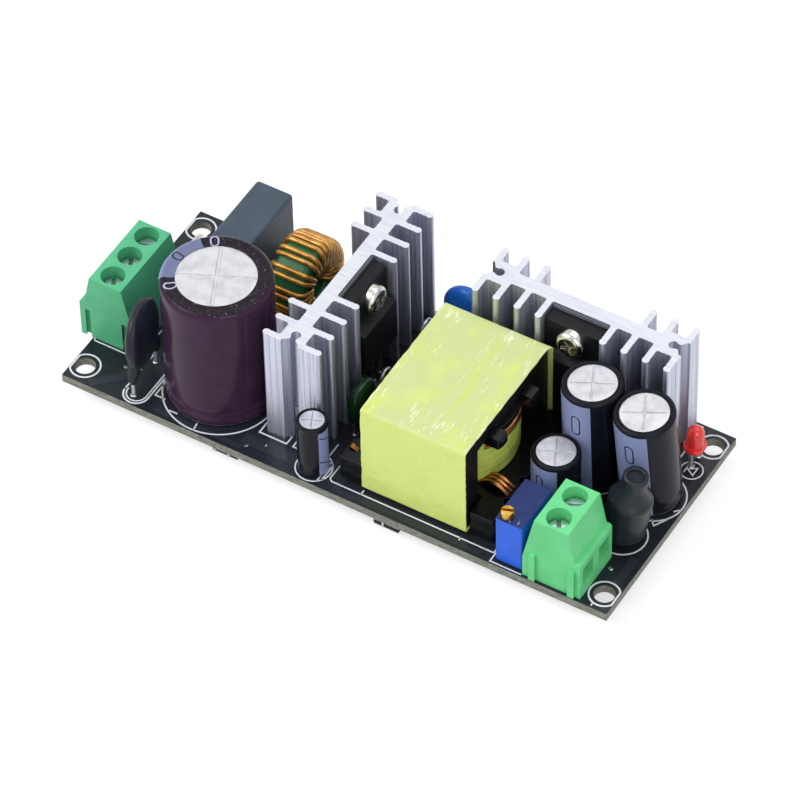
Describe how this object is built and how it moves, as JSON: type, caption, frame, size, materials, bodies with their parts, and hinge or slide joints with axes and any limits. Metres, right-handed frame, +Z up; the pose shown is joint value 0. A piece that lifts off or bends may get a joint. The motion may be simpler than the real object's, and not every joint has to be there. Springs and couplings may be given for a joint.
{
  "type": "open frame power supply",
  "caption": "Long open circuit board supply with a mains screw terminal, an output screw terminal, finned heatsinks, a taped transformer and capacitors between them.",
  "frame": {"origin": "centre of the four mounting holes, on the board's underside", "axes": "+X along the board to the output terminal, +Y to the heatsink side, +Z up out of the component side"},
  "size_m": [0.1039, 0.0426, 0.0307],
  "materials": {
    "board": "satin solder mask",
    "green_housing": "moulded",
    "light_green_housing": "moulded",
    "screw_steel": "zinc plated",
    "brass": "turned",
    "tinned": "tinned",
    "dark_dip": "dipped",
    "fuse_ceramic": "matt ceramic",
    "grey_case": "moulded",
    "green_core": "painted ferrite",
    "enamel_wire": "enamelled copper",
    "can_metal": "drawn",
    "purple_sleeve": "shrunk sleeve",
    "black_sleeve": "shrunk sleeve",
    "heatsink": "extruded",
    "epoxy_black": "moulded",
    "pad_grey": "matt",
    "ferrite": "sintered",
    "bobbin_black": "moulded",
    "yellow_tape": "film tape",
    "film_green": "dipped",
    "blue_dip": "dipped",
    "axial_dark": "moulded",
    "axial_grey": "coated",
    "rod_black": "shrunk sleeve",
    "blue_case": "moulded",
    "red_lens": "diffused",
    "chip_brown": "fired"
  },
  "bodies": {
    "supply": {"circuit_board": "board", "ac_terminal_housing": "green_housing", "ac_terminal_pins": "tinned", "dc_terminal_housing": "light_green_housing", "dc_terminal_pins": "tinned", "thermistor": "dark_dip", "fuse_tube": "fuse_ceramic", "fuse_caps": "tinned", "suppression_capacitor": "grey_case", "choke_core": "green_core", "choke_winding": "enamel_wire", "bulk_can": "can_metal", "bulk_sleeve": "purple_sleeve", "primary_heatsink": "heatsink", "output_heatsink": "heatsink", "heatsink_pins": "tinned", "switch_transistor": "epoxy_black", "output_rectifier": "epoxy_black", "insulating_pads": "pad_grey", "fixing_screws": "screw_steel", "transformer_core": "ferrite", "transformer_bobbin": "bobbin_black", "transformer_coil": "yellow_tape", "transformer_tape": "yellow_tape", "transformer_wires": "enamel_wire", "transformer_pins": "tinned", "supply_can": "can_metal", "supply_sleeve": "black_sleeve", "short_can": "can_metal", "short_sleeve": "black_sleeve", "tall_can_1": "can_metal", "tall_sleeve_1": "black_sleeve", "tall_can_2": "can_metal", "tall_sleeve_2": "black_sleeve", "film_capacitor": "film_green", "disc_capacitor": "blue_dip", "standing_diode": "axial_dark", "standing_resistor": "axial_grey", "rod_inductor": "rod_black", "trimmer_body": "blue_case", "indicator_lamp": "red_lens", "component_leads": "tinned", "bridge_rectifier": "epoxy_black", "surface_diode": "epoxy_black", "controller_chip": "epoxy_black", "optocoupler": "epoxy_black", "chip_parts": "chip_brown"},
    "ac_screw_1": {"ac_terminal_screw_1": "screw_steel"},
    "ac_clamp_1": {"ac_wire_clamp_1": "brass"},
    "ac_screw_2": {"ac_terminal_screw_2": "screw_steel"},
    "ac_clamp_2": {"ac_wire_clamp_2": "brass"},
    "ac_screw_3": {"ac_terminal_screw_3": "screw_steel"},
    "ac_clamp_3": {"ac_wire_clamp_3": "brass"},
    "dc_screw_1": {"dc_terminal_screw_1": "screw_steel"},
    "dc_clamp_1": {"dc_wire_clamp_1": "brass"},
    "dc_screw_2": {"dc_terminal_screw_2": "screw_steel"},
    "dc_clamp_2": {"dc_wire_clamp_2": "brass"},
    "trimmer_screw": {"trimmer_screw": "brass"}
  },
  "joints": [
    {"name": "ac_screw_1_turn", "type": "hinge", "parent": "supply", "child": "ac_screw_1", "pos_m": [-0.04775, -0.00921, 0.0116], "axis": [0, 0, -1], "range_deg": [0, 1440]},
    {"name": "ac_clamp_1_rise", "type": "slide", "parent": "supply", "child": "ac_clamp_1", "axis": [0, 0, 1], "range_m": [0, 0.002]},
    {"name": "ac_screw_2_turn", "type": "hinge", "parent": "supply", "child": "ac_screw_2", "pos_m": [-0.04775, -0.00413, 0.0116], "axis": [0, 0, -1], "range_deg": [0, 1440]},
    {"name": "ac_clamp_2_rise", "type": "slide", "parent": "supply", "child": "ac_clamp_2", "axis": [0, 0, 1], "range_m": [0, 0.002]},
    {"name": "ac_screw_3_turn", "type": "hinge", "parent": "supply", "child": "ac_screw_3", "pos_m": [-0.04775, 0.00095, 0.0116], "axis": [0, 0, -1], "range_deg": [0, 1440]},
    {"name": "ac_clamp_3_rise", "type": "slide", "parent": "supply", "child": "ac_clamp_3", "axis": [0, 0, 1], "range_m": [0, 0.002]},
    {"name": "dc_screw_1_turn", "type": "hinge", "parent": "supply", "child": "dc_screw_1", "pos_m": [0.0404, -0.01811, 0.0116], "axis": [0, 0, -1], "range_deg": [0, 1440]},
    {"name": "dc_clamp_1_rise", "type": "slide", "parent": "supply", "child": "dc_clamp_1", "axis": [0, 0, 1], "range_m": [0, 0.002]},
    {"name": "dc_screw_2_turn", "type": "hinge", "parent": "supply", "child": "dc_screw_2", "pos_m": [0.0404, -0.01303, 0.0116], "axis": [0, 0, -1], "range_deg": [0, 1440]},
    {"name": "dc_clamp_2_rise", "type": "slide", "parent": "supply", "child": "dc_clamp_2", "axis": [0, 0, 1], "range_m": [0, 0.002]},
    {"name": "trimmer_turn", "type": "hinge", "parent": "supply", "child": "trimmer_screw", "pos_m": [0.03155, -0.0188, 0.0096], "axis": [0, 0, -1], "continuous": true}
  ],
  "couplings": [
    {"joint": "ac_screw_1_turn", "follows": "ac_clamp_1_rise", "rad_per_m": 12566},
    {"joint": "ac_screw_2_turn", "follows": "ac_clamp_2_rise", "rad_per_m": 12566},
    {"joint": "ac_screw_3_turn", "follows": "ac_clamp_3_rise", "rad_per_m": 12566},
    {"joint": "dc_screw_1_turn", "follows": "dc_clamp_1_rise", "rad_per_m": 12566},
    {"joint": "dc_screw_2_turn", "follows": "dc_clamp_2_rise", "rad_per_m": 12566}
  ]
}
